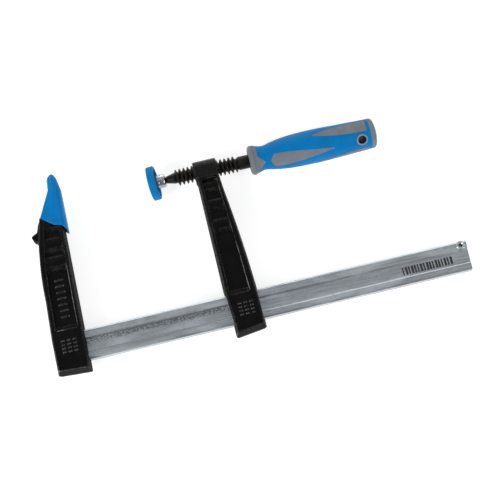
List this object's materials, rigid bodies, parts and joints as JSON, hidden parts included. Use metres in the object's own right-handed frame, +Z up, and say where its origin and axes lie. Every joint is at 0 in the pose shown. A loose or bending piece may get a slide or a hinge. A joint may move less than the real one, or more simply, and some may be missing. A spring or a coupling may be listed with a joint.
{
  "type": "f clamp",
  "caption": "Deep-throat F clamp: fixed jaw on a steel bar, sliding arm, screw with swivel pad and a two-part soft-grip handle.",
  "frame": {"origin": "centre of the bottom of the whole clamp as it lies flat, under the middle of its bounding box", "axes": "+X along the bar from the fixed jaw to the free end, +Y from the bar towards the screw, +Z up, across the bar's thickness"},
  "size_m": [0.3926, 0.1996, 0.0335],
  "materials": {
    "zinc_bar": "bright zinc plate, drawn",
    "zinc_pin": "bright zinc plate",
    "black_casting": "black painted, as cast",
    "blue_plastic": "satin moulded",
    "grey_grip": "matt moulded",
    "black_oxide_steel": "black oxide, oiled",
    "bright_steel": "bright zinc plate",
    "spring_steel": "spring wire"
  },
  "bodies": {
    "root": {"bar_rail": "zinc_bar", "end_stop_pin": "zinc_pin", "fixed_jaw": "black_casting", "fixed_jaw_cap": "blue_plastic"},
    "sliding_arm": {"sliding_arm": "black_casting"},
    "ball_ring": {"ball_retaining_ring": "spring_steel"},
    "screw": {"spindle": "black_oxide_steel", "handle_core": "blue_plastic", "grip_collar": "grey_grip", "hanging_hole_bush": "grey_grip", "grip_end_cap": "grey_grip", "grip_front_inlay_1": "grey_grip", "grip_front_inlay_2": "grey_grip", "grip_front_inlay_3": "grey_grip", "grip_rear_inlay_1": "grey_grip", "grip_rear_inlay_2": "grey_grip", "grip_rear_inlay_3": "grey_grip"},
    "pad": {"swivel_pad": "bright_steel", "pad_cap": "blue_plastic"}
  },
  "joints": [
    {"name": "arm_slide", "type": "slide", "parent": "root", "child": "sliding_arm", "axis": [1, 0, 0], "range_m": [-0.0612, 0.1867]},
    {"name": "screw_feed", "type": "slide", "parent": "sliding_arm", "child": "ball_ring", "axis": [1, 0, 0], "range_m": [-0.01901, 0.02601]},
    {"name": "screw_spin", "type": "hinge", "parent": "ball_ring", "child": "screw", "pos_m": [-0.06677, 0.0687, 0.01743], "axis": [1, 0, 0], "range_deg": [-1710, 2340]},
    {"name": "pad_tilt", "type": "hinge", "parent": "ball_ring", "child": "pad", "pos_m": [-0.06677, 0.0687, 0.01743], "axis": [0, 1, 0], "range_deg": [-3, 15.8]}
  ],
  "couplings": [
    {"joint": "screw_feed", "follows": "screw_spin", "m_per_rad": 0.00063662}
  ]
}
